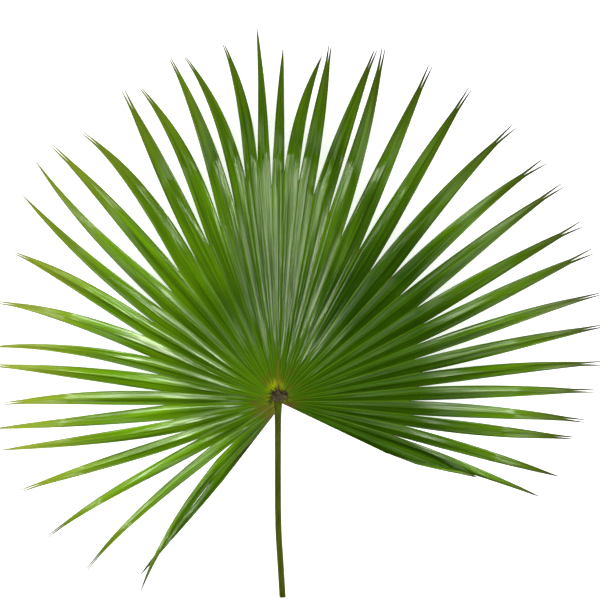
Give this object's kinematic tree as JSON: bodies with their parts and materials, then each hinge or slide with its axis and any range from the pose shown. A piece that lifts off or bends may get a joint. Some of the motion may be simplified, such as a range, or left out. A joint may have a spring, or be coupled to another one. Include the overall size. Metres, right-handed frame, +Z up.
{
  "type": "fan palm leaf",
  "caption": "Cut fan palm leaf lying upper side up: a pleated blade split into narrow drooping segments, on a slender stalk with a small brown hastula.",
  "frame": {"origin": "on the surface that the leaf lies on, under the middle of the leaf's box", "axes": "+Z up, out of the leaf's upper side; the stalk points to -Y, so +Y runs from the cut end to the middle tips; +X across the fan, to the right in the picture"},
  "size_m": [0.7702, 0.7121, 0.052],
  "materials": {
    "blade_green": "living leaf, deep green and smooth with a soft waxy sheen, yellower towards the tips",
    "stalk_olive": "smooth olive plant stalk, finely streaked along its length, darker on one edge",
    "hastula_brown": "dry, papery, dull brown with a ragged edge"
  },
  "bodies": {
    "root": {"blade": "blade_green", "petiole": "stalk_olive", "hastula": "hastula_brown"}
  },
  "joints": []
}
